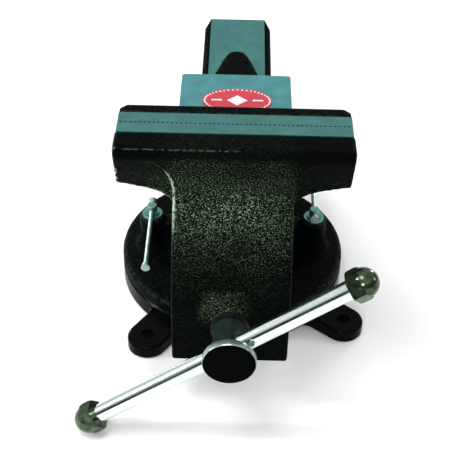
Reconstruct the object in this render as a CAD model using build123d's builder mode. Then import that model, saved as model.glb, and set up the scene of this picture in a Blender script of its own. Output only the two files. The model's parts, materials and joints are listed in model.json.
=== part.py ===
"""Swivel-base bench vise with an anvil and a horn, jaws closed.

Millimetres.  The origin is on the swivel axis, in the plane of the bench top.
+X is to the right seen from the front, +Y runs back along the screw, +Z is up.
"""
from build123d import *
import math
import os

os.makedirs("parts", exist_ok=True)

# ---------------------------------------------------------------- driving dimensions
jaw_width = 203.0
jaw_half = jaw_width / 2
jaw_top = 258.0
joint_y = -112.0                     # the plane where the two jaw plates meet
gap = 0.3                            # air between neighbours that move past each other
run = 0.05                           # radial clearance of a running fit

# jaw plates
plate_thick = 15.0
plate_height = 32.0
plate_bottom = jaw_top - plate_height
plate_face_gap = 0.15                # each gripping face stands this far off the joint plane
groove_pitch = 4.0
groove_depth = 1.2
plate_screw_x = 62.0
plate_screw_z = jaw_top - plate_height / 2
plate_screw_r = 5.0
plate_screw_head_r = 8.0
plate_screw_head = 6.0
plate_screw_recess = 1.6             # the heads sit this far below the gripping face
plate_screw_in_casting = 9.0

# fixed jaw casting
fixed_front = joint_y + 8.0
fixed_land_front = joint_y + plate_thick
fixed_land_back = fixed_land_front + 13.0
fixed_wing_back = fixed_land_back + 4.0
corner_cut = 6.0                     # at the back corners of the fixed wings, seen from above
body_half = 51.5
body_back = 80.0
body_top = 172.0
anvil_top = 236.0
anvil_thick = 26.0
anvil_back = 5.0
horn_tip = anvil_back + 51.0
horn_top = anvil_top - 3.0
flange_r = 115.5
flange_top = 32.0
spigot_r = 25.0
lug_x = 84.0
lug_r = 13.0
lug_top = 68.5
tunnel_floor = 57.5

# moving jaw casting
moving_half = jaw_half + 1.2
moving_back = joint_y - 8.0
moving_land_back = joint_y - plate_thick
moving_land_front = moving_land_back - 25.5
fascia_bottom = jaw_top - 10.4
column_half = 52.5
column_front = joint_y - 87.0
column_bottom = 58.0
beam_half = 38.0
beam_top = 153.0
beam_back = 266.0
beam_chamfer = 7.0
beam_corner_x = 6.5                  # the far corners are cut, seen from above
beam_corner_y = 12.0
beam_wall = 13.0
beam_roof = 14.0
cavity_front = moving_back - 2.0
boss_r = 30.0
boss_face = column_front - 5.0

# lead screw and what is on it
screw_z = 105.6
screw_r = 14.0
screw_back = 205.0
neck_r = 15.0
washer_thick = 4.0
washer_r = 17.5
neck_back = boss_face - washer_thick - gap
head_r = 23.5
head_thick = 7.5
head_front = boss_face - 47.0
handle_y = head_front + 19.4
handle_angle = 36.4                  # from the horizontal, right end up
handle_r = 8.4
handle_half = 147.5                  # centre of the bar to the centre of a cap
handle_shift = -11.5                 # slid this far towards its lower end
cap_flats = 26.0
cap_length = 23.5
cap_hex = 12.0                       # length of the six flats, the rest is domed
cap_dome_r = 13.2
spring_washer_thick = 2.5
spring_r = 17.5
spring_wire_r = 1.6
collar_back = cavity_front + 33.0
collar_length = 14.0
collar_r = 21.0
collar_pin_r = 2.5
nut_front = collar_back + 14.0
nut_back = nut_front + 65.0
nut_half = 21.5
nut_top = 130.0
nut_foot_top = 69.5
nut_foot_reach = 15.0
nut_bolt_r = 4.0
nut_bolt_head_r = 6.2
nut_bolt_head = 8.0
nut_bolt_depth = 24.0

# swivel base
base_r = flange_r
base_top = 18.0
flange_bottom = base_top + gap
ear_pitch_r = 146.0
ear_r = 19.7
ear_top = 13.0
ear_angles = (98.5, 236.0, 321.0)    # the base stands turned 8.5 degrees under the vise
ear_fillet = 12.0
bolt_hole_r = 6.5
slot_r = lug_x
slot_half = 6.5
slot_floor = 5.0
slot_roof = 11.0
slot_cavity_half = 13.0
pivot_recess_r = 34.0
pivot_recess_top = 13.0
spigot_bottom = pivot_recess_top - gap
pivot_washer_r = 30.0
pivot_washer_thick = 3.0
pivot_bolt_r = 8.0
pivot_bolt_flats = 24.0
pivot_bolt_head = 8.0
pivot_bolt_depth = 20.0

# swivel locks
lock_r = 5.0
lock_washer_r = 10.35
lock_washer_thick = 2.5
lock_collar_r = 7.6
lock_collar = 2.0
lock_head_r = 5.2
lock_head_top = 81.0
lock_bar_z = 76.5
lock_bar_r = 2.25
lock_bar_half = 52.5
lock_knob_r = 4.4
lock_knob_length = 6.0
lock_bar_y = {"left": -40.8, "right": 40.5}
side_x = {"left": -lug_x, "right": lug_x}


def on_y(y):
    """Plane facing -Y at the given Y, with X to the right and Z up."""
    return Plane(origin=(0, y, 0), x_dir=(1, 0, 0), z_dir=(0, -1, 0))


def on_screw(y):
    """The same plane, centred on the screw axis."""
    return Plane(origin=(0, y, screw_z), x_dir=(1, 0, 0), z_dir=(0, -1, 0))


# ---------------------------------------------------------------- swivel base
with BuildPart() as base_plate:
    with BuildSketch(Plane.XY) as base_outline:
        Circle(base_r - 1.5)
        for angle in ear_angles:
            with PolarLocations(ear_pitch_r, 1, start_angle=angle):
                Circle(ear_r)
                Rectangle(ear_pitch_r, 2 * ear_r, align=(Align.MAX, Align.CENTER))
        inner_corners = [
            v for v in base_outline.vertices()
            if abs(math.hypot(v.X, v.Y) - (base_r - 1.5)) < 0.01
        ]
        fillet(inner_corners, ear_fillet)
    extrude(amount=ear_top)
    fillet(base_plate.faces().sort_by(Axis.Z)[-1].outer_wire().edges(), 3)
    with BuildSketch(Plane.XY):
        Circle(base_r)
    extrude(amount=base_top)
    chamfer(base_plate.faces().sort_by(Axis.Z)[-1].outer_wire().edges(), 1.5)
    # round T-slot for the heads of the lock nuts, with one place to drop them in
    with BuildSketch(Plane.XY.offset(slot_floor)):
        Circle(slot_r + slot_cavity_half)
        Circle(slot_r - slot_cavity_half, mode=Mode.SUBTRACT)
    extrude(amount=slot_roof - slot_floor, mode=Mode.SUBTRACT)
    with BuildSketch(Plane.XY.offset(slot_roof)):
        Circle(slot_r + slot_half)
        Circle(slot_r - slot_half, mode=Mode.SUBTRACT)
    extrude(amount=base_top - slot_roof, mode=Mode.SUBTRACT)
    with BuildSketch(Plane.XY.offset(slot_floor)):
        with Locations((0, slot_r)):
            Circle(slot_cavity_half)
    extrude(amount=base_top - slot_floor, mode=Mode.SUBTRACT)
    # pivot bore, and the recess under it for the pivot bolt
    with BuildSketch(Plane.XY):
        Circle(pivot_recess_r)
    extrude(amount=pivot_recess_top, mode=Mode.SUBTRACT)
    with BuildSketch(Plane.XY):
        Circle(spigot_r + run)
    extrude(amount=base_top, mode=Mode.SUBTRACT)
    # bench bolt holes
    with BuildSketch(Plane.XY):
        for angle in ear_angles:
            with PolarLocations(ear_pitch_r, 1, start_angle=angle):
                Circle(bolt_hole_r)
    extrude(amount=ear_top, mode=Mode.SUBTRACT)
base_plate.part.label = "base_plate"
export_step(base_plate.part, "parts/base_plate.step")


# ---------------------------------------------------------------- jaw castings
def wing_outline(half, bottom):
    """Front view of a jaw: full width at the top, curving in to the column."""
    with BuildSketch() as outline:
        with BuildLine():
            Polyline((0, jaw_top), (half, jaw_top), (half, 209))
            ThreePointArc((half, 209), (83, 205), (64, 198))
            ThreePointArc((64, 198), (56, 190), (column_half - 1, 178))
            Polyline((column_half - 1, 178), (column_half - 1, bottom), (0, bottom), (0, jaw_top))
        make_face()
        mirror(about=Plane.YZ)
    return outline.sketch


# fixed jaw: the wings that carry the rear plate
with BuildPart() as fixed_wings:
    with BuildSketch(on_y(fixed_front)):
        add(wing_outline(jaw_half, 170))
    extrude(amount=fixed_front - fixed_wing_back)
    with BuildSketch(Plane.YZ):
        with BuildLine():
            Polyline(
                (fixed_front, 165), (fixed_front, plate_bottom),
                (fixed_land_front, plate_bottom), (fixed_land_front, jaw_top),
                (fixed_land_back, jaw_top), (fixed_land_back, anvil_top + 3),
                (fixed_wing_back, anvil_top - 8), (fixed_wing_back, 200),
                (fixed_wing_back - 8, 165), (fixed_front, 165),
            )
        make_face()
    extrude(amount=jaw_half, both=True, mode=Mode.INTERSECT)
    # the back corners are cut away at 45 degrees
    with BuildSketch(Plane.XY.offset(150)):
        with BuildLine():
            Polyline(
                (0, fixed_front), (jaw_half, fixed_front),
                (jaw_half, fixed_land_back - corner_cut),
                (jaw_half - corner_cut, fixed_land_back),
                (jaw_half - corner_cut - 5, fixed_wing_back), (0, fixed_wing_back), (0, fixed_front),
            )
        make_face()
        mirror(about=Plane.YZ)
    extrude(amount=120, mode=Mode.INTERSECT)

# fixed jaw: the horn behind the anvil
with BuildPart() as horn:
    with BuildSketch(Plane.XY.offset(horn_top)):
        with BuildLine():
            Line((0, anvil_back - 4), (24.5, anvil_back - 4))
            Spline((24.5, anvil_back - 4), (20.5, anvil_back + 9), (13.5, horn_tip - 17), (8, horn_tip - 3.5))
            ThreePointArc((8, horn_tip - 3.5), (4.6, horn_tip - 1), (0, horn_tip))
            Line((0, horn_tip), (0, anvil_back - 4))
        make_face()
        mirror(about=Plane.YZ)
    extrude(amount=-34)
    with BuildSketch(Plane.YZ):
        with BuildLine():
            Polyline((horn_tip + 1, horn_top - 12), (horn_tip + 1, horn_top), (anvil_back - 5, horn_top))
            Line((anvil_back - 5, horn_top), (anvil_back - 5, horn_top - 33))
            ThreePointArc(
                (anvil_back - 5, horn_top - 33), (anvil_back + 25, horn_top - 19), (horn_tip + 1, horn_top - 12),
            )
        make_face()
    extrude(amount=30, both=True, mode=Mode.INTERSECT)

with BuildPart() as fixed_jaw:
    # swivel flange and its pivot spigot
    with BuildSketch(Plane.XY.offset(flange_bottom)):
        Circle(flange_r)
    extrude(amount=flange_top - flange_bottom)
    fillet(fixed_jaw.faces().sort_by(Axis.Z)[-1].edges(), 4)
    with BuildSketch(Plane.XY.offset(spigot_bottom)):
        Circle(spigot_r)
    extrude(amount=flange_bottom - spigot_bottom + 1)
    # body and anvil, drawn from the side
    with BuildSketch(Plane.YZ):
        with BuildLine():
            Polyline(
                (fixed_front + 9, flange_top - 4), (fixed_front, flange_top + 10), (fixed_front, 200),
                (fixed_land_back, 222), (fixed_land_back, anvil_top), (anvil_back, anvil_top),
                (anvil_back, anvil_top - anvil_thick),
            )
            ThreePointArc(
                (anvil_back, anvil_top - anvil_thick), (anvil_back + 5, 184), (anvil_back + 23, body_top),
            )
            Polyline(
                (anvil_back + 23, body_top), (body_back, body_top), (body_back, flange_top - 4),
                (fixed_front + 9, flange_top - 4),
            )
        make_face()
    extrude(amount=body_half, both=True)
    body_verticals = [
        e for e in fixed_jaw.edges().filter_by(Axis.Z)
        if abs(e.center().X) > body_half - 1 and e.center().Y > body_back - 1
    ]
    fillet(body_verticals, 8)
    add(fixed_wings.part)
    add(horn.part)
    # lock bolt lugs and their webs
    with BuildSketch(Plane.XY.offset(flange_bottom + 5)):
        with Locations((-lug_x, 0), (lug_x, 0)):
            Circle(lug_r)
    extrude(amount=lug_top - flange_bottom - 5)
    with Locations((-lug_x, 0, flange_top + 2.5), (lug_x, 0, flange_top + 2.5)):
        Cone(lug_r + 5, lug_r, 7)
    with BuildSketch(Plane.XZ):
        with BuildLine():
            Polyline(
                (body_half - 6, flange_top - 4), (lug_x, flange_top - 4), (lug_x, lug_top - 6),
                (lug_x - lug_r - 1, lug_top - 6), (body_half - 6, lug_top + 2),
                (body_half - 6, flange_top - 4),
            )
        make_face()
        mirror(about=Plane.YZ)
    extrude(amount=9, both=True)
    # tunnel for the beam of the moving jaw
    with BuildSketch(on_y(fixed_front - 5)):
        with Locations((0, tunnel_floor)):
            Rectangle(2 * (beam_half + 0.4), beam_top + 0.4 - tunnel_floor, align=(Align.CENTER, Align.MIN))
    extrude(amount=fixed_front - 5 - body_back - 5, mode=Mode.SUBTRACT)
    # bores for the lock bolts
    with BuildSketch(Plane.XY.offset(flange_bottom)):
        with Locations((-lug_x, 0), (lug_x, 0)):
            Circle(lock_r + run)
    extrude(amount=lug_top - flange_bottom, mode=Mode.SUBTRACT)
    # holes for the pivot bolt, the nut bolts and the plate screws
    with BuildSketch(Plane.XY.offset(spigot_bottom)):
        Circle(pivot_bolt_r + run)
    extrude(amount=pivot_bolt_depth + 1, mode=Mode.SUBTRACT)
    with BuildSketch(Plane.XY.offset(tunnel_floor)):
        with Locations((0, nut_front - nut_foot_reach / 2), (0, nut_back + nut_foot_reach / 2)):
            Circle(nut_bolt_r + run)
    extrude(amount=-nut_bolt_depth + 10, mode=Mode.SUBTRACT)
    with BuildSketch(on_y(fixed_land_front)):
        with Locations((-plate_screw_x, plate_screw_z), (plate_screw_x, plate_screw_z)):
            Circle(plate_screw_r + run)
    extrude(amount=-plate_screw_in_casting - 0.5, mode=Mode.SUBTRACT)
fixed_jaw.part.label = "fixed_jaw"
export_step(fixed_jaw.part, "parts/fixed_jaw.step")

# moving jaw: the wings that carry the front plate
with BuildPart() as moving_wings:
    with BuildSketch(on_y(moving_back)):
        add(wing_outline(moving_half, 170))
    extrude(amount=moving_back - moving_land_front)
    with BuildSketch(Plane.YZ):
        with BuildLine():
            Polyline(
                (moving_back, 165), (moving_back, plate_bottom),
                (moving_land_back, plate_bottom), (moving_land_back, jaw_top),
                (moving_land_front, jaw_top), (moving_land_front, fascia_bottom),
                (moving_back - 15, 209), (moving_back - 8, 165), (moving_back, 165),
            )
        make_face()
    extrude(amount=moving_half, both=True, mode=Mode.INTERSECT)

# moving jaw: the column, which flares to meet the fascia
with BuildPart() as column:
    with BuildSketch(on_y(moving_back)):
        with BuildLine():
            Line((0, jaw_top), (76, jaw_top))
            Line((76, jaw_top), (76, fascia_bottom))
            ThreePointArc((76, fascia_bottom), (60, 236), (column_half, 213))
            Polyline((column_half, 213), (column_half, column_bottom), (0, column_bottom), (0, jaw_top))
        make_face()
        mirror(about=Plane.YZ)
    extrude(amount=moving_back - column_front + 5)
    with BuildSketch(Plane.YZ):
        with BuildLine():
            Polyline(
                (column_front, column_bottom - 1), (moving_back, column_bottom - 1),
                (moving_back, plate_bottom), (moving_land_back, plate_bottom),
                (moving_land_back, jaw_top), (moving_land_front, jaw_top), (moving_land_front, 212),
            )
            Spline(
                (moving_land_front, 212), (column_front + 30, 184), (column_front + 14, 160),
                (column_front + 3, 130), (column_front, 100),
            )
            Line((column_front, 100), (column_front, column_bottom - 1))
        make_face()
    extrude(amount=80, both=True, mode=Mode.INTERSECT)

with BuildPart() as moving_jaw:
    # beam: an upside-down channel with chamfered top edges and end corners
    with BuildSketch(on_y(beam_back)):
        with Locations((0, column_bottom)):
            Rectangle(2 * beam_half, beam_top - column_bottom, align=(Align.CENTER, Align.MIN))
    extrude(amount=beam_back - moving_back + 6)
    beam_top_edges = moving_jaw.faces().sort_by(Axis.Z)[-1].edges().filter_by(Axis.Y)
    chamfer(beam_top_edges, beam_chamfer)
    add(column.part)
    add(moving_wings.part)
    # boss around the screw
    with BuildSketch(on_screw(boss_face)):
        Circle(boss_r)
    extrude(amount=boss_face - column_front - 25)
    # the beam is hollow from below and open at its far end
    with BuildSketch(on_y(beam_back + 1)):
        with Locations((0, column_bottom - 2)):
            Rectangle(
                2 * (beam_half - beam_wall), beam_top - beam_roof - column_bottom + 2,
                align=(Align.CENTER, Align.MIN),
            )
    extrude(amount=beam_back + 1 - cavity_front, mode=Mode.SUBTRACT)
    with BuildSketch(Plane.XY.offset(column_bottom - 1)):
        for sign in (-1, 1):
            with BuildLine():
                Polyline(
                    (sign * (beam_half - beam_corner_x), beam_back), (sign * beam_half, beam_back - beam_corner_y),
                    (sign * (beam_half + 5), beam_back - beam_corner_y), (sign * (beam_half + 5), beam_back + 5),
                    (sign * (beam_half - beam_corner_x), beam_back + 5),
                    (sign * (beam_half - beam_corner_x), beam_back),
                )
            make_face()
    extrude(amount=beam_top - column_bottom + 2, mode=Mode.SUBTRACT)
    with BuildSketch(on_screw(boss_face)):
        Circle(screw_r + run)
    extrude(amount=boss_face - cavity_front - 2, mode=Mode.SUBTRACT)
    with BuildSketch(on_y(moving_land_back)):
        with Locations((-plate_screw_x, plate_screw_z), (plate_screw_x, plate_screw_z)):
            Circle(plate_screw_r + run)
    extrude(amount=plate_screw_in_casting + 0.5, mode=Mode.SUBTRACT)
moving_jaw.part.label = "moving_jaw"
export_step(moving_jaw.part, "parts/moving_jaw.step")


# ---------------------------------------------------------------- jaw plates and their screws
def jaw_plate(side):
    """A grooved plate; side is +1 for the rear jaw and -1 for the front jaw."""
    face = joint_y + side * plate_face_gap
    back = joint_y + side * plate_thick
    teeth = int(jaw_width // groove_pitch)
    start = -teeth * groove_pitch / 2
    with BuildPart() as plate:
        with BuildSketch(Plane.XY.offset(plate_bottom)):
            with BuildLine():
                points = [(-jaw_half, back), (-jaw_half, face), (start, face)]
                for tooth in range(teeth):
                    left = start + tooth * groove_pitch
                    points.append((left + groove_pitch * 0.28, face))
                    points.append((left + groove_pitch * 0.5, face + side * groove_depth))
                    points.append((left + groove_pitch * 0.72, face))
                points += [(jaw_half, face), (jaw_half, back), (-jaw_half, back)]
                Polyline(*points)
            make_face()
        extrude(amount=plate_height)
        with BuildSketch(on_y(back)):
            with Locations((-plate_screw_x, plate_screw_z), (plate_screw_x, plate_screw_z)):
                Circle(plate_screw_r + 0.3)
        extrude(amount=side * plate_thick, mode=Mode.SUBTRACT)
        with BuildSketch(on_y(face)):
            with Locations((-plate_screw_x, plate_screw_z), (plate_screw_x, plate_screw_z)):
                Circle(plate_screw_head_r + 0.4)
        extrude(amount=-side * (plate_screw_recess + plate_screw_head), mode=Mode.SUBTRACT)
    return plate.part


def plate_screws(side):
    """The two socket-head screws of a jaw plate."""
    head_face = joint_y + side * (plate_face_gap + plate_screw_recess)
    head_back = head_face + side * plate_screw_head
    tip = joint_y + side * (plate_thick + plate_screw_in_casting)
    with BuildPart() as screws:
        with BuildSketch(on_y(head_face)):
            with Locations((-plate_screw_x, plate_screw_z), (plate_screw_x, plate_screw_z)):
                Circle(plate_screw_head_r)
        extrude(amount=-side * plate_screw_head)
        with BuildSketch(on_y(head_back)):
            with Locations((-plate_screw_x, plate_screw_z), (plate_screw_x, plate_screw_z)):
                Circle(plate_screw_r)
        extrude(amount=head_back - tip)
        with BuildSketch(on_y(head_face)):
            with Locations((-plate_screw_x, plate_screw_z), (plate_screw_x, plate_screw_z)):
                RegularPolygon(4, 6)
        extrude(amount=-side * 4, mode=Mode.SUBTRACT)
    return screws.part


for jaw_name, jaw_side in (("rear", 1), ("front", -1)):
    plate_part = jaw_plate(jaw_side)
    plate_part.label = f"{jaw_name}_jaw_plate"
    export_step(plate_part, f"parts/{jaw_name}_jaw_plate.step")
    screws_part = plate_screws(jaw_side)
    screws_part.label = f"{jaw_name}_jaw_screws"
    export_step(screws_part, f"parts/{jaw_name}_jaw_screws.step")

# ---------------------------------------------------------------- badge on the anvil
with BuildPart() as badge:
    with BuildSketch(Plane.XY.offset(anvil_top)):
        with Locations((1.5, -41)):
            Ellipse(32, 20)
    extrude(amount=0.8)
badge.part.label = "badge"
export_step(badge.part, "parts/badge.step")

# ---------------------------------------------------------------- lead screw
with BuildPart() as lead_screw:
    with BuildSketch(on_screw(screw_back)):
        Circle(screw_r)
    extrude(amount=screw_back - neck_back)
    chamfer(lead_screw.faces().sort_by(Axis.Y)[-1].edges(), 2)
    with BuildSketch(on_screw(neck_back)):
        Circle(neck_r)
    extrude(amount=neck_back - head_front - head_thick)
    with BuildSketch(on_screw(head_front + head_thick)):
        Circle(head_r)
    extrude(amount=head_thick)
    fillet(lead_screw.faces().sort_by(Axis.Y)[0].edges(), 2.5)
    # cross hole for the handle
    handle_plane = Plane(
        origin=(0, handle_y, screw_z), x_dir=(0, 1, 0),
        z_dir=(math.cos(math.radians(handle_angle)), 0, math.sin(math.radians(handle_angle))),
    )
    with BuildSketch(handle_plane):
        Circle(handle_r + run)
    extrude(amount=head_r + 2, both=True, mode=Mode.SUBTRACT)
    # cross hole for the collar pin
    pin_y = collar_back - collar_length / 2
    with BuildSketch(Plane(origin=(0, pin_y, screw_z), z_dir=(1, 0, 0))):
        Circle(collar_pin_r + run)
    extrude(amount=screw_r + 2, both=True, mode=Mode.SUBTRACT)
lead_screw.part.label = "lead_screw"
export_step(lead_screw.part, "parts/lead_screw.step")

with BuildPart() as thrust_washer:
    with BuildSketch(on_screw(boss_face)):
        Circle(washer_r)
        Circle(screw_r + gap, mode=Mode.SUBTRACT)
    extrude(amount=washer_thick)
thrust_washer.part.label = "thrust_washer"
export_step(thrust_washer.part, "parts/thrust_washer.step")

with BuildPart() as spring_washer:
    with BuildSketch(on_screw(cavity_front)):
        Circle(20)
        Circle(screw_r + gap, mode=Mode.SUBTRACT)
    extrude(amount=-spring_washer_thick)
spring_washer.part.label = "spring_washer"
export_step(spring_washer.part, "parts/spring_washer.step")

spring_start = cavity_front + spring_washer_thick + spring_wire_r + gap
spring_end = collar_back - collar_length - spring_wire_r - 0.05
with BuildPart() as take_up_spring:
    with BuildLine() as spring_path:
        Helix(
            pitch=(spring_end - spring_start) / 2.5, height=spring_end - spring_start,
            radius=spring_r, center=(0, spring_start, screw_z), direction=(0, 1, 0),
        )
    with BuildSketch(Plane(origin=spring_path.line @ 0, z_dir=spring_path.line % 0)):
        Circle(spring_wire_r)
    sweep(path=spring_path.line, is_frenet=True)
take_up_spring.part.label = "take_up_spring"
export_step(take_up_spring.part, "parts/take_up_spring.step")

with BuildPart() as retaining_collar:
    with BuildSketch(on_screw(collar_back)):
        Circle(collar_r)
        Circle(screw_r + run, mode=Mode.SUBTRACT)
    extrude(amount=collar_length)
    with BuildSketch(Plane(origin=(0, pin_y, screw_z), z_dir=(1, 0, 0))):
        Circle(collar_pin_r + run)
    extrude(amount=collar_r + 2, both=True, mode=Mode.SUBTRACT)
retaining_collar.part.label = "retaining_collar"
export_step(retaining_collar.part, "parts/retaining_collar.step")

with BuildPart() as collar_pin:
    with BuildSketch(Plane(origin=(0, pin_y, screw_z), z_dir=(1, 0, 0))):
        Circle(collar_pin_r)
    extrude(amount=collar_r - 0.5, both=True)
collar_pin.part.label = "collar_pin"
export_step(collar_pin.part, "parts/collar_pin.step")

# ---------------------------------------------------------------- spindle nut, bolted to the tunnel floor
with BuildPart() as spindle_nut:
    with BuildSketch(Plane.YZ):
        with BuildLine():
            Polyline(
                (nut_front - nut_foot_reach, tunnel_floor), (nut_back + nut_foot_reach, tunnel_floor),
                (nut_back + nut_foot_reach, nut_foot_top), (nut_back, nut_foot_top),
                (nut_back, nut_top), (nut_front, nut_top), (nut_front, nut_foot_top),
                (nut_front - nut_foot_reach, nut_foot_top), (nut_front - nut_foot_reach, tunnel_floor),
            )
        make_face()
    extrude(amount=nut_half, both=True)
    fillet(spindle_nut.faces().sort_by(Axis.Z)[-1].edges().filter_by(Axis.Y), 12)
    with BuildSketch(on_screw(nut_back)):
        Circle(screw_r + run)
    extrude(amount=nut_back - nut_front, mode=Mode.SUBTRACT)
    with BuildSketch(Plane.XY.offset(tunnel_floor)):
        with Locations((0, nut_front - nut_foot_reach / 2), (0, nut_back + nut_foot_reach / 2)):
            Circle(nut_bolt_r + run)
    extrude(amount=nut_foot_top - tunnel_floor, mode=Mode.SUBTRACT)
spindle_nut.part.label = "spindle_nut"
export_step(spindle_nut.part, "parts/spindle_nut.step")

with BuildPart() as nut_bolts:
    with BuildSketch(Plane.XY.offset(nut_foot_top)):
        with Locations((0, nut_front - nut_foot_reach / 2), (0, nut_back + nut_foot_reach / 2)):
            Circle(nut_bolt_r)
    extrude(amount=-nut_bolt_depth)
    with BuildSketch(Plane.XY.offset(nut_foot_top)):
        with Locations((0, nut_front - nut_foot_reach / 2), (0, nut_back + nut_foot_reach / 2)):
            Circle(nut_bolt_head_r)
    extrude(amount=nut_bolt_head)
nut_bolts.part.label = "nut_bolts"
export_step(nut_bolts.part, "parts/nut_bolts.step")

# ---------------------------------------------------------------- pivot bolt and washer under the base
with BuildPart() as pivot_washer:
    with BuildSketch(Plane.XY.offset(spigot_bottom)):
        Circle(pivot_washer_r)
        Circle(pivot_bolt_r + gap, mode=Mode.SUBTRACT)
    extrude(amount=-pivot_washer_thick)
pivot_washer.part.label = "pivot_washer"
export_step(pivot_washer.part, "parts/pivot_washer.step")

with BuildPart() as pivot_bolt:
    with BuildSketch(Plane.XY.offset(spigot_bottom - pivot_washer_thick)):
        RegularPolygon(pivot_bolt_flats / 2, 6, major_radius=False)
    extrude(amount=-pivot_bolt_head)
    with BuildSketch(Plane.XY.offset(spigot_bottom - pivot_washer_thick)):
        Circle(pivot_bolt_r)
    extrude(amount=pivot_washer_thick + pivot_bolt_depth)
pivot_bolt.part.label = "pivot_bolt"
export_step(pivot_bolt.part, "parts/pivot_bolt.step")

# ---------------------------------------------------------------- handle
with BuildPart() as handle_bar:
    bar_start = handle_plane.offset(handle_shift - handle_half - 2)
    with BuildSketch(bar_start):
        Circle(handle_r)
    extrude(amount=2 * handle_half + 4)
handle_bar.part.label = "handle_bar"
export_step(handle_bar.part, "parts/handle_bar.step")

for cap_name, cap_sign in (("left", -1), ("right", 1)):
    cap_place = handle_shift + cap_sign * (handle_half - cap_length / 2)
    cap_plane = Plane(
        origin=handle_plane.origin + handle_plane.z_dir * cap_place,
        x_dir=(0, 1, 0), z_dir=handle_plane.z_dir * cap_sign,
    )
    with BuildPart() as handle_cap:
        # six flats with their outer corners turned off, and a dome
        with BuildSketch(cap_plane):
            RegularPolygon(cap_flats / 2, 6, major_radius=False)
        extrude(amount=cap_hex)
        with Locations(cap_plane.offset(cap_hex - 6)):
            Sphere(cap_dome_r + 2.2, mode=Mode.INTERSECT)
        with Locations(cap_plane.offset(cap_length - cap_dome_r)):
            Sphere(cap_dome_r)
        with BuildSketch(cap_plane):
            Circle(cap_flats)
        extrude(amount=cap_length + 1, mode=Mode.INTERSECT)
        with BuildSketch(cap_plane):
            Circle(handle_r + run)
        extrude(amount=cap_length / 2 + 2, mode=Mode.SUBTRACT)
    handle_cap.part.label = f"handle_cap_{cap_name}"
    export_step(handle_cap.part, f"parts/handle_cap_{cap_name}.step")

# ---------------------------------------------------------------- swivel locks, left and right
collar_z = lug_top + lock_washer_thick + gap
for side in ("left", "right"):
    x = side_x[side]
    bar_y = lock_bar_y[side]

    with BuildPart() as lock_washer:
        with BuildSketch(Plane.XY.offset(lug_top)):
            with Locations((x, 0)):
                Circle(lock_washer_r)
                Circle(lock_r + gap, mode=Mode.SUBTRACT)
        extrude(amount=lock_washer_thick)
    lock_washer.part.label = f"lock_washer_{side}"
    export_step(lock_washer.part, f"parts/lock_washer_{side}.step")

    with BuildPart() as lock_nut:
        with BuildSketch(Plane.XY.offset(slot_floor + 0.4)):
            with Locations((x, 0)):
                Rectangle(22, 20)
        extrude(amount=slot_roof - slot_floor - 0.8)
        with BuildSketch(Plane.XY.offset(slot_roof - 0.4)):
            with Locations((x, 0)):
                Rectangle(11.4, 14)
        extrude(amount=base_top - slot_roof)
        with BuildSketch(Plane.XY):
            with Locations((x, 0)):
                Circle(lock_r - 1 + run)
        extrude(amount=base_top, mode=Mode.SUBTRACT)
    lock_nut.part.label = f"lock_nut_{side}"
    export_step(lock_nut.part, f"parts/lock_nut_{side}.step")

    with BuildPart() as lock_bolt:
        # reduced end in the lock nut, shank through the lug, collar and head for the bar
        with BuildSketch(Plane.XY.offset(slot_floor + 1)):
            with Locations((x, 0)):
                Circle(lock_r - 1)
        extrude(amount=flange_bottom - slot_floor)
        with BuildSketch(Plane.XY.offset(flange_bottom + 1)):
            with Locations((x, 0)):
                Circle(lock_r)
        extrude(amount=lug_top + lock_washer_thick - flange_bottom)
        with BuildSketch(Plane.XY.offset(collar_z)):
            with Locations((x, 0)):
                Circle(lock_collar_r)
        extrude(amount=lock_collar)
        with BuildSketch(Plane.XY.offset(collar_z)):
            with Locations((x, 0)):
                Circle(lock_head_r)
        extrude(amount=lock_head_top - collar_z)
        fillet(lock_bolt.faces().sort_by(Axis.Z)[-1].edges(), 1.2)
        with BuildSketch(on_y(0)):
            with Locations((x, lock_bar_z)):
                Circle(lock_bar_r + run)
        extrude(amount=lock_head_r + 2, both=True, mode=Mode.SUBTRACT)
    lock_bolt.part.label = f"lock_bolt_{side}"
    export_step(lock_bolt.part, f"parts/lock_bolt_{side}.step")

    with BuildPart() as lock_bar:
        with BuildSketch(on_y(bar_y + lock_bar_half)):
            with Locations((x, lock_bar_z)):
                Circle(lock_bar_r)
        extrude(amount=2 * lock_bar_half)
    lock_bar.part.label = f"lock_bar_{side}"
    export_step(lock_bar.part, f"parts/lock_bar_{side}.step")

    with BuildPart() as lock_knobs:
        # a bell at each end, wider outwards, closed over the end of the bar
        for end in (-1, 1):
            end_y = bar_y + end * (lock_bar_half + 1)
            bell = Plane(origin=(x, end_y - end * lock_knob_length / 2, lock_bar_z), z_dir=(0, end, 0))
            with Locations(bell):
                Cone(lock_bar_r + 0.7, lock_knob_r, lock_knob_length)
        with BuildSketch(on_y(bar_y + lock_bar_half)):
            with Locations((x, lock_bar_z)):
                Circle(lock_bar_r + run)
        extrude(amount=2 * lock_bar_half, mode=Mode.SUBTRACT)
    lock_knobs.part.label = f"lock_knobs_{side}"
    export_step(lock_knobs.part, f"parts/lock_knobs_{side}.step")
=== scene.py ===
"""Looks of a swivel-base bench vise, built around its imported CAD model."""

import json
import math

import bmesh
import bpy
from mathutils import Matrix, Vector


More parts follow.
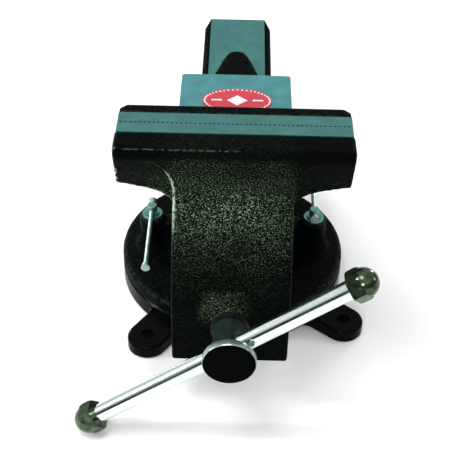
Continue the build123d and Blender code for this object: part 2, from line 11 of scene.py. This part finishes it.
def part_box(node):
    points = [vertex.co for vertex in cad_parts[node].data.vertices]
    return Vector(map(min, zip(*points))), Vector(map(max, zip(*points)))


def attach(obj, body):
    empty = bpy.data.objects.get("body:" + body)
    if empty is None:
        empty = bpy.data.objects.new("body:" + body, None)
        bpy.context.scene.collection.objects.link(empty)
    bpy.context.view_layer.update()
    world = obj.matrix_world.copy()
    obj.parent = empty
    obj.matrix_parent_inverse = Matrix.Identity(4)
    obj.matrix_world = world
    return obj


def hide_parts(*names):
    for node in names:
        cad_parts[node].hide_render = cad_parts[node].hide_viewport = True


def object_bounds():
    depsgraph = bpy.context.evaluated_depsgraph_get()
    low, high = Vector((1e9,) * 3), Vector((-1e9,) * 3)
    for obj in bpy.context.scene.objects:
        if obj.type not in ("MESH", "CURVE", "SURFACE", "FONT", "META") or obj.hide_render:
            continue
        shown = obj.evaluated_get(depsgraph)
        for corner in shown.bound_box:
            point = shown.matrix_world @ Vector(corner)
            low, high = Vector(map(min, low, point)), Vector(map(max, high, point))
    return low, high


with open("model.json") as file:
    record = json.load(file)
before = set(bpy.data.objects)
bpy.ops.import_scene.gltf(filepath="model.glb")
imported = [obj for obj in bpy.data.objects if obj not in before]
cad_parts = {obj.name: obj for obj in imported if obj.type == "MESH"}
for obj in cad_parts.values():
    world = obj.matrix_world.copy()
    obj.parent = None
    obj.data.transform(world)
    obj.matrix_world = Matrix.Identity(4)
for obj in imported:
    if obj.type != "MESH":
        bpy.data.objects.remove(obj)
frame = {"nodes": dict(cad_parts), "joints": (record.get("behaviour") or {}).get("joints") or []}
cad_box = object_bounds()
nodes = frame["nodes"]
joints = {joint["name"]: joint for joint in frame["joints"]}

MM = 0.001

# ---------------------------------------------------------------- places, from the frame
anvil_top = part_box("badge")[0].z
screw_axis = Vector(joints["screw_turn"]["pos_m"])

# sizes that the frame doesn't give, as the CAD model has them
plate_screw_x = 62 * MM
plate_screw_z = 242 * MM
plate_screw_depth = 9.5 * MM
plate_screw_bore = 5.2 * MM
tunnel_half = 38.4 * MM
tunnel_bottom, tunnel_top = 57.5 * MM, 153.4 * MM
nut_bolt_places = (-82.5 * MM, -2.5 * MM)
casting_joint_y = -121 * MM
column_wall_y = -130 * MM
beam_top_limit = 153.1 * MM


# ---------------------------------------------------------------- mesh helpers
def link(name, mesh):
    piece = bpy.data.objects.new(name, mesh)
    bpy.context.scene.collection.objects.link(piece)
    return piece


def applied(piece):
    """Bakes the piece's modifiers into a new mesh."""
    bpy.context.view_layer.update()
    shown = piece.evaluated_get(bpy.context.evaluated_depsgraph_get())
    mesh = bpy.data.meshes.new_from_object(shown)
    piece.modifiers.clear()
    piece.data = mesh
    return piece


def from_bmesh(name, bm):
    mesh = bpy.data.meshes.new(name)
    bm.to_mesh(mesh)
    bm.free()
    return link(name, mesh)


def shade_smooth(piece, angle=35):
    piece.data.shade_smooth()
    piece.data.set_sharp_from_angle(angle=math.radians(angle))


def bevelled(piece, width, angle):
    """Adds a small round to every edge sharper than the angle."""
    bevel = piece.modifiers.new("edges", "BEVEL")
    bevel.width = width
    bevel.segments = 2
    bevel.limit_method = "ANGLE"
    bevel.angle_limit = math.radians(angle)


def paint_all(piece, *materials):
    piece.data.materials.clear()
    for material in materials:
        piece.data.materials.append(material)


def boolean(piece, other, operation="DIFFERENCE", solver="MANIFOLD"):
    """Applies a boolean to a piece and removes the other object."""
    cut = piece.modifiers.new("cut", "BOOLEAN")
    cut.object = other
    cut.operation = operation
    cut.solver = solver
    cut.material_mode = "TRANSFER"
    applied(piece)
    bpy.data.objects.remove(other)


def welded(node):
    """A copy of a CAD node with its split edges joined again, so that booleans can use it."""
    bm = bmesh.new()
    bm.from_mesh(nodes[node].data)
    bmesh.ops.remove_doubles(bm, verts=bm.verts, dist=1e-6)
    return from_bmesh(node + "_copy", bm)


def box_object(low, high, *materials):
    bm = bmesh.new()
    middle = (Vector(low) + Vector(high)) / 2
    size = Vector(high) - Vector(low)
    place = Matrix.Translation(middle) @ Matrix.Diagonal((*size, 1))
    bmesh.ops.create_cube(bm, size=1, matrix=place)
    piece = from_bmesh("box", bm)
    paint_all(piece, *materials)
    return piece


def cylinder_object(start, end, radius, *materials, segments=64):
    start, end = Vector(start), Vector(end)
    along = end - start
    turn = along.to_track_quat("Z", "Y").to_matrix().to_4x4()
    bm = bmesh.new()
    bmesh.ops.create_cone(
        bm, cap_ends=True, segments=segments, radius1=radius, radius2=radius,
        depth=along.length, matrix=Matrix.Translation((start + end) / 2) @ turn,
    )
    piece = from_bmesh("cylinder", bm)
    paint_all(piece, *materials)
    return piece


def rounded_casting(name, source, voxel, rounds):
    """A copy of a mesh with every edge rounded, as a sand casting has."""
    piece = link(name, source)
    remesh = piece.modifiers.new("remesh", "REMESH")
    remesh.mode = "VOXEL"
    remesh.voxel_size = voxel
    smooth = piece.modifiers.new("smooth", "SMOOTH")
    smooth.factor = 0.5
    smooth.iterations = rounds
    return applied(piece)


def finish_piece(piece, body, slot, *stands_for):
    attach(piece, body)
    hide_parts(*stands_for)


# ---------------------------------------------------------------- materials
class Shader:
    """A Principled material and short ways to add nodes to it."""

    def __init__(self, name, color, metallic, roughness, specular=0.5):
        self.material = bpy.data.materials.new(name)
        self.material.use_nodes = True
        self.tree = self.material.node_tree
        self.bsdf = self.tree.nodes["Principled BSDF"]
        self.bsdf.inputs["Base Color"].default_value = (*color, 1)
        self.bsdf.inputs["Metallic"].default_value = metallic
        self.bsdf.inputs["Roughness"].default_value = roughness
        self.bsdf.inputs["Specular IOR Level"].default_value = specular
        self.position = self.node("ShaderNodeTexCoord").outputs["Object"]

    def node(self, kind, **values):
        made = self.tree.nodes.new(kind)
        for key, value in values.items():
            setattr(made, key, value)
        return made

    def wire(self, output, target):
        self.tree.links.new(output, target)

    def stretched(self, scale):
        mapping = self.node("ShaderNodeMapping")
        mapping.inputs["Scale"].default_value = scale
        self.wire(self.position, mapping.inputs["Vector"])
        return mapping.outputs["Vector"]

    def noise(self, scale, detail=3.0, roughness=0.55, vector=None):
        made = self.node("ShaderNodeTexNoise")
        made.inputs["Scale"].default_value = scale
        made.inputs["Detail"].default_value = detail
        made.inputs["Roughness"].default_value = roughness
        self.wire(vector or self.position, made.inputs["Vector"])
        return made.outputs["Fac"]

    def cells(self, scale):
        made = self.node("ShaderNodeTexVoronoi")
        made.inputs["Scale"].default_value = scale
        self.wire(self.position, made.inputs["Vector"])
        return made.outputs["Distance"]

    def ramp(self, value, *stops):
        made = self.node("ShaderNodeValToRGB")
        elements = made.color_ramp.elements
        while len(elements) < len(stops):
            elements.new(0.5)
        for element, (place, color) in zip(elements, stops):
            element.position = place
            element.color = (*(color if isinstance(color, tuple) else (color,) * 3), 1)
        self.wire(value, made.inputs["Fac"])
        return made.outputs["Color"]

    def math(self, operation, first, second):
        made = self.node("ShaderNodeMath", operation=operation)
        for socket, value in zip(made.inputs, (first, second)):
            if isinstance(value, (int, float)):
                socket.default_value = value
            else:
                self.wire(value, socket)
        return made.outputs["Value"]

    def mix(self, factor, first, second, blend="MIX"):
        made = self.node("ShaderNodeMix", data_type="RGBA", blend_type=blend)
        if isinstance(factor, (int, float)):
            made.inputs["Factor"].default_value = factor
        else:
            self.wire(factor, made.inputs["Factor"])
        for socket, value in ((made.inputs[6], first), (made.inputs[7], second)):
            if isinstance(value, tuple):
                socket.default_value = (*value, 1)
            else:
                self.wire(value, socket)
        return made.outputs[2]

    def color(self, output):
        self.wire(output, self.bsdf.inputs["Base Color"])

    def roughness(self, output):
        self.wire(output, self.bsdf.inputs["Roughness"])

    def bump(self, height, strength, distance):
        made = self.node("ShaderNodeBump")
        made.inputs["Strength"].default_value = strength
        made.inputs["Distance"].default_value = distance
        self.wire(height, made.inputs["Height"])
        self.wire(made.outputs["Normal"], self.bsdf.inputs["Normal"])


def edge_sharpness(shader):
    """How far an outside edge stands above a flat face, from the mesh's pointiness."""
    geometry = shader.node("ShaderNodeNewGeometry")
    return shader.math("SUBTRACT", geometry.outputs["Pointiness"], 0.5)


def hammered_paint(name, fleck, grain, edge_wear_and_highlight, specular, painted_light=None):
    """Black hammered enamel: fine bumps with grey-green flecks, thin on the edges. A painted_light
    function, where given, adds painted light: it limits the flecks to a painted lit mask and the
    bright edge lines to painted edge highlights.
    """
    shader = Shader(name, (0.004, 0.006, 0.005), 0.0, 0.4, specular)
    fine = shader.noise(grain, 1.5, 0.7)
    cells = shader.cells(430)
    patches = shader.noise(26, 4.0)
    dark = (0.0008, 0.0013, 0.0012)
    middle = tuple(0.13 * c for c in fleck)
    shade = shader.ramp(fine, (0.44, dark), (0.57, middle), (0.66, fleck))
    dulled_and_lit_flecks = shader.mix(shader.ramp(patches, (0.36, 0.5), (0.62, 0.0)), shade, dark)
    sharpness = edge_sharpness(shader)
    # Painted light: where the mask is dark the flecks give way to the plain dark base, and edge
    # lines are kept only where the mask allows them.
    if painted_light:
        lit_flecks_amount, edges = painted_light(shader)
        dulled_and_lit_flecks = shader.mix(lit_flecks_amount, dark, dulled_and_lit_flecks)
        sharpness = shader.math("MULTIPLY", sharpness, edges)
    # Light edge lines from edge sharpness and chip noise: rubbed enamel, and under a painted_light
    # mask also a painted edge highlight.
    chips = shader.ramp(shader.noise(280), (0.44, 0.0), (0.54, 1.0))
    worn_and_lit_edges = shader.math("MULTIPLY", shader.ramp(sharpness, (0.012, 0.0), (0.045, 1.0)), chips)
    shader.color(shader.mix(worn_and_lit_edges, dulled_and_lit_flecks, edge_wear_and_highlight))
    shader.roughness(shader.ramp(cells, (0.0, 0.3), (0.9, 0.55)))
    height = shader.math("ADD", shader.math("MULTIPLY", cells, 0.6), fine)
    shader.bump(height, 0.8, 0.0009)
    return shader.material


def jaw_painted_light(shader):
    """Painted light on the front casting: a painted lit band of flecks across the upper column,
    lighter on the left, a painted highlight on the top of the boss, and painted highlights on the
    upper left edges.
    """
    split = shader.node("ShaderNodeSeparateXYZ")
    shader.wire(shader.position, split.inputs["Vector"])
    # 0 to 1 for heights of 0 to 250 mm, and for 111 mm either side of the middle
    height = shader.math("MULTIPLY", split.outputs["Z"], 4.0)
    across = shader.math("ADD", shader.math("MULTIPLY", split.outputs["X"], 4.5), 0.5)
    # Painted highlight on the top of the boss.
    boss_highlight_height = shader.ramp(height, (0.42, 0.0), (0.48, 0.8), (0.51, 0.8), (0.56, 0.0))
    boss_highlight_side = shader.ramp(across, (0.36, 0.0), (0.43, 1.0), (0.5, 0.8), (0.58, 0.0))
    boss = shader.math("MULTIPLY", boss_highlight_height, boss_highlight_side)
    # Painted lit band: the flecks show strongest across the upper column, and more on the left side
    # than on the right.
    lit_band_by_height = shader.ramp(
        height,
        (0.3, 0.03), (0.5, 0.04), (0.6, 0.1), (0.69, 0.3), (0.74, 0.75),
        (0.8, 1.0), (0.88, 0.8), (0.93, 0.4), (0.98, 0.3), (1.03, 0.05),
    )
    lit_by_side = shader.ramp(
        across,
        (0.0, 0.05), (0.15, 0.16), (0.24, 0.5), (0.29, 1.0),
        (0.5, 0.85), (0.7, 0.8), (0.76, 0.15), (0.82, 0.1),
    )
    lit_flecks_amount = shader.math("ADD", shader.math("MULTIPLY", lit_band_by_height, lit_by_side), boss)
    # Painted edge highlights, kept to the upper edges and the left half.
    lit_edges_high = shader.ramp(height, (0.66, 0.0), (0.8, 1.0), (0.92, 1.0), (0.95, 0.35))
    lit_edges_left = shader.ramp(across, (0.5, 1.0), (0.62, 0.12))
    return lit_flecks_amount, shader.math("MULTIPLY", lit_edges_high, lit_edges_left)


def machined_steel(name, color, grain, lines_axis):
    """Ground steel: fine lines along one axis, with a mottled film."""
    shader = Shader(name, color, 0.75, 0.42)
    scale = [900, 900, 900]
    scale[lines_axis] = 12
    lines = shader.noise(1.0, 3.0, 0.6, shader.stretched(tuple(scale)))
    film = shader.noise(grain, 4.0)
    dark = tuple(0.72 * c for c in color)
    bright = tuple(min(1.0, 1.18 * c) for c in color)
    tone = shader.ramp(film, (0.3, dark), (0.7, bright))
    shader.color(shader.mix(0.35, tone, shader.ramp(lines, (0.3, dark), (0.7, bright))))
    shader.roughness(shader.ramp(lines, (0.25, 0.34), (0.75, 0.54)))
    shader.bump(lines, 0.25, 0.0002)
    return shader.material


def gloss_paint():
    """Gloss black enamel with orange peel and dust."""
    shader = Shader("gloss_black_paint", (0.003, 0.004, 0.004), 0.0, 0.16, 0.03)
    peel = shader.noise(260, 2.0)
    dust = shader.noise(35, 5.0)
    shader.color(shader.ramp(dust, (0.35, (0.001, 0.0015, 0.0015)), (0.75, (0.003, 0.0045, 0.004))))
    shader.roughness(shader.ramp(dust, (0.3, 0.12), (0.7, 0.3)))
    shader.bump(peel, 0.25, 0.0006)
    return shader.material


def chrome():
    shader = Shader("bright_chrome", (0.82, 0.9, 0.87), 1.0, 0.1)
    smear = shader.noise(40, 4.0)
    fine = shader.noise(500, 2.0)
    shader.color(shader.ramp(smear, (0.3, (0.62, 0.74, 0.7)), (0.65, (0.86, 0.93, 0.9))))
    shader.roughness(shader.ramp(smear, (0.3, 0.2), (0.7, 0.07)))
    shader.bump(fine, 0.08, 0.0003)
    return shader.material


def plated(name, color, roughness, dark=0.6):
    """Zinc or oxide plate: crystals in the colour and a slightly uneven gloss."""
    shader = Shader(name, color, 0.85, roughness)
    film = shader.noise(150, 4.0)
    fine = shader.noise(900, 2.0)
    shader.color(shader.ramp(film, (0.3, tuple(dark * c for c in color)), (0.7, color)))
    shader.roughness(shader.ramp(film, (0.3, roughness + 0.12), (0.7, roughness)))
    shader.bump(fine, 0.15, 0.0002)
    return shader.material


def enamel(name, color, specular=0.5):
    """Enamel, a little uneven in its colour and gloss."""
    shader = Shader(name, color, 0.0, 0.35, specular)
    film = shader.noise(300, 3.0)
    shader.color(shader.ramp(film, (0.3, tuple(0.8 * c for c in color)), (0.7, color)))
    shader.roughness(shader.ramp(film, (0.3, 0.28), (0.7, 0.42)))
    shader.bump(film, 0.1, 0.0002)
    return shader.material


# The front casting's enamel, with painted light: its flecks show through a painted lit mask, and
# its bright green edge colour is a painted edge highlight as well as rubbed enamel.
jaw_paint_with_painted_light = hammered_paint(
    "hammered_black_paint_painted_light", fleck=(0.31, 0.45, 0.27), grain=820,
    edge_wear_and_highlight=(0.5, 0.62, 0.5), specular=0.011, painted_light=jaw_painted_light,
)
body_fleck = (0.012, 0.018, 0.017)
body_paint = hammered_paint(
    "body_black_paint", fleck=body_fleck, grain=700, edge_wear_and_highlight=(0.02, 0.03, 0.027), specular=0.014,
)
beam_paint = hammered_paint(
    "beam_black_paint", fleck=body_fleck, grain=700, edge_wear_and_highlight=(0.002, 0.003, 0.003), specular=0.02,
)
gloss = gloss_paint()
anvil_steel = machined_steel("anvil_steel", (0.088, 0.312, 0.335), 55, 0)
beam_steel = machined_steel("beam_steel", (0.06, 0.22, 0.215), 55, 1)
plate_steel = machined_steel("plate_steel", (0.06, 0.205, 0.195), 70, 0)
chrome_plate = chrome()
zinc = plated("zinc_plate", (0.42, 0.6, 0.56), 0.3)
oxide = plated("black_oxide", (0.03, 0.035, 0.035), 0.38)
screw_metal = plated("screw_steel", (0.085, 0.135, 0.122), 0.3, 0.4)
# Painted highlight: a brighter copy of the screw steel for the screw head's rim.
rim_painted_highlight = plated("rim_painted_highlight", (0.42, 0.52, 0.46), 0.25)
teal_zinc = plated("yellowed_zinc", (0.18, 0.42, 0.36), 0.34)
cap_steel = plated("cap_steel", (0.1, 0.15, 0.085), 0.16, 0.06)
# Painted shade: black enamel on the screw head's steel front face, standing in for its dark
# reflection.
head_painted_shade = enamel("head_painted_shade", (0.0012, 0.0018, 0.0018), 0.008)
red = enamel("red_enamel", (0.52, 0.02, 0.045))
white_enamel = enamel("white_enamel", (0.85, 0.78, 0.8))


# ---------------------------------------------------------------- camera, floor and light
def camera():
    place = Vector((1.3, -930.0, 804.2)) * MM
    target = Vector((-7.08, -112.0, 146.49)) * MM
    back = (place - target).normalized()
    right = Vector((0, 0, 1)).cross(back).normalized()
    up = back.cross(right)
    turn = Matrix((right, up, back)).transposed() @ Matrix.Rotation(math.radians(1.02), 3, "Z")
    data = bpy.data.cameras.new("camera")
    data.sensor_width = 36
    data.lens = 91.16
    data.clip_end = 50
    made = bpy.data.objects.new("camera", data)
    made.matrix_world = Matrix.Translation(place) @ turn.to_4x4()
    bpy.context.scene.collection.objects.link(made)
    bpy.context.scene.camera = made


def floor():
    bm = bmesh.new()
    bmesh.ops.create_grid(bm, x_segments=8, y_segments=8, size=12)
    bmesh.ops.translate(bm, vec=(0, 0, cad_box[0][2] - 0.0005), verts=bm.verts)
    piece = from_bmesh("floor", bm)
    shader = Shader("pale_floor", (0.9, 0.9, 0.9), 0.0, 0.9, 0.1)
    shader.bsdf.inputs["Emission Color"].default_value = (1, 1, 1, 1)
    shader.bsdf.inputs["Emission Strength"].default_value = 0.04
    paint_all(piece, shader.material)


def area_light(name, place, target, size, power):
    data = bpy.data.lights.new(name, "AREA")
    data.shape = "RECTANGLE"
    data.size, data.size_y = size
    data.energy = power
    made = bpy.data.objects.new(name, data)
    place, target = Vector(place), Vector(target)
    made.matrix_world = (
        Matrix.Translation(place) @ (place - target).to_track_quat("Z", "Y").to_matrix().to_4x4()
    )
    bpy.context.scene.collection.objects.link(made)


def studio():
    """A soft overhead dome that fades to dark at the horizon, and six lamps round the vise."""
    world = bpy.data.worlds.new("studio")
    world.use_nodes = True
    tree = world.node_tree
    direction = tree.nodes.new("ShaderNodeTexCoord")
    dome = tree.nodes.new("ShaderNodeVectorMath")
    dome.operation = "DOT_PRODUCT"
    dome.inputs[1].default_value = Vector((-0.14, 0.2, 1)).normalized()
    ramp = tree.nodes.new("ShaderNodeValToRGB")
    ramp.color_ramp.elements[0].position = 0.2
    ramp.color_ramp.elements[0].color = (0.015, 0.017, 0.017, 1)
    ramp.color_ramp.elements[1].position = 0.46
    ramp.color_ramp.elements[1].color = (0.78, 0.8, 0.79, 1)
    tree.links.new(direction.outputs["Generated"], dome.inputs[0])
    tree.links.new(dome.outputs["Value"], ramp.inputs["Fac"])
    tree.links.new(ramp.outputs["Color"], tree.nodes["Background"].inputs["Color"])
    tree.nodes["Background"].inputs["Strength"].default_value = 1.0
    bpy.context.scene.world = world
    bpy.context.scene.view_settings.view_transform = "Standard"
    area_light("top", (-0.35, -0.35, 1.4), (0, -0.1, 0.15), (0.6, 0.4), 9)
    area_light("front", (-0.25, -1.7, 1.0), (0, -0.15, 0.2), (0.5, 0.2), 9)
    area_light("left", (-1.2, -0.25, 0.6), (0, -0.1, 0.1), (0.05, 0.25), 6)
    area_light("right", (1.2, 0.0, 0.6), (0, 0, 0.1), (0.05, 0.25), 2.5)
    area_light("back_left", (-0.95, 1.2, 0.4), (-0.05, 0, 0.08), (0.12, 0.4), 9)
    area_light("back_right", (0.95, 1.2, 0.4), (0.05, 0, 0.08), (0.12, 0.4), 6)


# ---------------------------------------------------------------- castings
def lifted(node, height, low, high, lift):
    """The node's mesh, with a level face lifted so that it can be cut back flat."""
    mesh = nodes[node].data.copy()
    for vertex in mesh.vertices:
        inside = low[0] <= vertex.co.x <= high[0] and low[1] <= vertex.co.y <= high[1]
        if inside and abs(vertex.co.z - height) < 0.02 * MM:
            vertex.co.z += lift
    return mesh


def plate_screw_bores(piece, y_from, y_to):
    """Cuts the bores of the two screws that hold a jaw plate."""
    for x in (-plate_screw_x, plate_screw_x):
        start, end = (x, y_from, plate_screw_z), (x, y_to, plate_screw_z)
        boolean(piece, cylinder_object(start, end, plate_screw_bore, oxide))


def fixed_casting():
    """The rear casting, with its anvil, plate seat, tunnel and bores machined back."""
    plate_low, plate_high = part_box("rear_jaw_plate")
    back = plate_high.y
    edge = 55 * MM
    mesh = lifted("fixed_jaw", anvil_top, (-edge, back), (edge, back + 120 * MM), 4 * MM)
    piece = rounded_casting("fixed_jaw_casting", mesh, 1.8 * MM, 3)
    paint_all(piece, body_paint)

    anvil_front = back + 13.6 * MM
    anvil_low = (-60 * MM, anvil_front, anvil_top)
    anvil_high = (60 * MM, back + 150 * MM, anvil_top + 20 * MM)
    boolean(piece, box_object(anvil_low, anvil_high, anvil_steel))
    seat_low = plate_low - Vector((10 * MM, 10 * MM, 0))
    seat_high = plate_high + Vector((10 * MM, 0, 10 * MM))
    boolean(piece, box_object(seat_low, seat_high, oxide))
    tunnel_low = (-tunnel_half, -200 * MM, tunnel_bottom)
    tunnel_high = (tunnel_half, 200 * MM, tunnel_top)
    boolean(piece, box_object(tunnel_low, tunnel_high, oxide))

    for side in ("left", "right"):
        low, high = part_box("lock_washer_" + side)
        x = (low.x + high.x) / 2
        bolt_end = low.z + 20 * MM
        boolean(piece, cylinder_object((x, 0, 10 * MM), (x, 0, bolt_end), 5.3 * MM, oxide))
        boolean(piece, cylinder_object((x, 0, low.z), (x, 0, bolt_end), 10.8 * MM, oxide))
    boolean(piece, cylinder_object((0, 0, 0), (0, 0, 33.7 * MM), 8.2 * MM, oxide))
    for y in nut_bolt_places:
        boolean(piece, cylinder_object((0, y, 43.4 * MM), (0, y, 60 * MM), 4.2 * MM, oxide))
    plate_screw_bores(piece, back - 10 * MM, back + plate_screw_depth)
    shade_smooth(piece)
    finish_piece(piece, "fixed_jaw", "black_casting", "fixed_jaw")


def front_casting():
    """The jaw, column and boss of the moving jaw."""
    front = welded("moving_jaw")
    boolean(front, box_object((-200 * MM, casting_joint_y, 0), (200 * MM, 300 * MM, 300 * MM)))
    mesh = front.data
    bpy.data.objects.remove(front)
    piece = rounded_casting("moving_jaw_casting", mesh, 1.7 * MM, 3)
    paint_all(piece, jaw_paint_with_painted_light)
    low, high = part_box("front_jaw_plate")
    seat_low = low - Vector((10 * MM, 0, 0))
    seat_high = high + Vector((10 * MM, 10 * MM, 10 * MM))
    boolean(piece, box_object(seat_low, seat_high, oxide))
    bore_start = (0, -250 * MM, screw_axis.z)
    bore_end = (0, -100 * MM, screw_axis.z)
    boolean(piece, cylinder_object(bore_start, bore_end, 14.3 * MM, oxide))
    plate_screw_bores(piece, low.y - plate_screw_depth, low.y + 10 * MM)
    shade_smooth(piece)
    finish_piece(piece, "moving_jaw", "black_casting", "moving_jaw")


def slide_beam():
    """The hollow beam of the moving jaw, with its top machined."""
    beam = welded("moving_jaw")
    beam.name = "slide_beam"
    column_end = casting_joint_y - 1 * MM
    boolean(beam, box_object((-200 * MM, -400 * MM, 0), (200 * MM, column_end, 300 * MM)))
    boolean(beam, box_object((-200 * MM, column_wall_y, beam_top_limit), (200 * MM, 0, 300 * MM)))
    paint_all(beam, beam_paint, beam_steel)
    top = max(vertex.co.z for vertex in beam.data.vertices)
    for face in beam.data.polygons:
        if face.normal.z > 0.9 and face.center.z > top - 1 * MM:
            face.material_index = 1
    bevelled(beam, 0.7 * MM, 30)
    applied(beam)
    shade_smooth(beam, 30)
    finish_piece(beam, "moving_jaw", "black_casting")


# ---------------------------------------------------------------- screw thread
def thread(name, start, end, major, minor, pitch, turn_steps=40):
    """A right-hand trapezoidal thread along +Y, from start to end."""
    bm = bmesh.new()
    profile = ((0.0, minor), (0.14, minor), (0.36, major), (0.64, major), (0.86, minor))
    turns = int((end - start) / pitch) - 1
    rows = []
    for step in range(turns * turn_steps + 1):
        angle = 2 * math.pi * step / turn_steps
        row = []
        for along, radius in profile:
            y = start + pitch * (step / turn_steps + along)
            left = turns * turn_steps - step
            fade = min(1.0, (step + 1) / turn_steps, (left + 1) / turn_steps)
            r = minor + (radius - minor) * fade
            row.append(bm.verts.new((r * math.cos(angle), y, screw_axis.z - r * math.sin(angle))))
        rows.append(row)
    for first, second in zip(rows, rows[1:]):
        for k in range(len(profile) - 1):
            bm.faces.new((first[k], second[k], second[k + 1], first[k + 1]))
    for step in range(len(rows) - turn_steps):
        if step + 1 + turn_steps < len(rows):
            a, b = rows[step][-1], rows[step + 1][-1]
            c, d = rows[step + 1 + turn_steps][0], rows[step + turn_steps][0]
            bm.faces.new((a, b, c, d))
    return from_bmesh(name, bm)


def lead_screw():
    """The screw, with its thread cut into the plain CAD cylinder."""
    low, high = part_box("lead_screw")
    major, minor, pitch = 13.9 * MM, 11.0 * MM, 8 * MM
    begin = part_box("retaining_collar")[1].y + 4 * MM
    shank = welded("lead_screw")
    shank.name = "lead_screw_head"
    start, end = (0, begin, screw_axis.z), (0, high.y + 10 * MM, screw_axis.z)
    boolean(shank, cylinder_object(start, end, 20 * MM, screw_metal))
    start, end = (0, begin - 1 * MM, screw_axis.z), (0, high.y, screw_axis.z)
    boolean(shank, cylinder_object(start, end, minor + 0.3 * MM, screw_metal), "UNION")
    paint_all(shank, screw_metal, head_painted_shade, rim_painted_highlight)
    # Painted shade and highlight: the head's front face takes the black enamel, its rim the
    # brighter steel.
    for face in shank.data.polygons:
        if face.center.y < low.y + 8 * MM:
            face.material_index = 1 if face.normal.y < -0.6 else 2
    bevelled(shank, 0.5 * MM, 40)
    applied(shank)
    shade_smooth(shank, 40)
    finish_piece(shank, "screw", "screw_steel", "lead_screw")
    helix = thread("screw_thread", begin - 2 * MM, high.y + 2 * MM, major, minor, pitch)
    shade_smooth(helix, 30)
    paint_all(helix, screw_metal)
    finish_piece(helix, "screw", "screw_steel")


# ---------------------------------------------------------------- badge
def badge_marks():
    """A dotted ring, a lozenge and two bars in white enamel on the red plate."""
    low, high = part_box("badge")
    centre = (low + high) / 2
    half_x, half_y = (high.x - low.x) / 2, (high.y - low.y) / 2
    inset = 1.9 * MM
    mark_rise = 0.5 * MM
    bm = bmesh.new()
    dots = 44
    for k in range(dots):
        t = 2 * math.pi * k / dots
        x = centre.x + (half_x - inset) * math.cos(t)
        y = centre.y + (half_y - inset) * math.sin(t)
        place = Matrix.Translation((x, y, high.z - 0.3 * MM)) @ Matrix.Diagonal((1, 1, 0.42, 1))
        bmesh.ops.create_uvsphere(bm, u_segments=12, v_segments=6, radius=1.25 * MM, matrix=place)
    for x in (-19 * MM, 19 * MM):
        place = Matrix.Translation(centre + Vector((x, 0, mark_rise)))
        size = Matrix.Diagonal((9.5 * MM, 2.2 * MM, 0.5 * MM, 1))
        bmesh.ops.create_cube(bm, size=1, matrix=place @ size)
    place = Matrix.Translation(centre + Vector((0, 0, mark_rise)))
    bmesh.ops.create_cone(
        bm, cap_ends=True, segments=4, radius1=8.5 * MM, radius2=8.0 * MM,
        depth=0.5 * MM, matrix=place @ Matrix.Diagonal((1.15, 1, 1, 1)),
    )
    piece = from_bmesh("badge_marks", bm)
    shade_smooth(piece, 30)
    paint_all(piece, white_enamel)
    finish_piece(piece, "fixed_jaw", "badge_red")


# ---------------------------------------------------------------- CAD nodes shown as they are
def shown_nodes():
    """Gives every CAD node its material and small rounds on its edges, in millimetres."""
    finishes = {
        "base_plate": (gloss, 1.0), "badge": (red, 0.2),
        "rear_jaw_plate": (plate_steel, 0.25), "front_jaw_plate": (plate_steel, 0.25),
        "handle_bar": (chrome_plate, 0.4), "thrust_washer": (oxide, 0.5),
        "spindle_nut": (oxide, 0.8), "take_up_spring": (oxide, 0.0),
    }
    for name, node in nodes.items():
        material, width = finishes.get(name, (oxide, 0.4))
        if name.startswith(("lock_washer", "lock_bolt")):
            material = teal_zinc
        elif name.startswith(("lock_bar", "lock_knobs")):
            material = zinc
        elif name.startswith("handle_cap"):
            material, width = cap_steel, 0.9
        node.data.shade_smooth()
        node.data.set_sharp_from_angle(angle=math.radians(30))
        paint_all(node, material)
        if width:
            bevelled(node, width * MM, 40)


camera()
floor()
studio()
fixed_casting()
front_casting()
slide_beam()
lead_screw()
badge_marks()
shown_nodes()
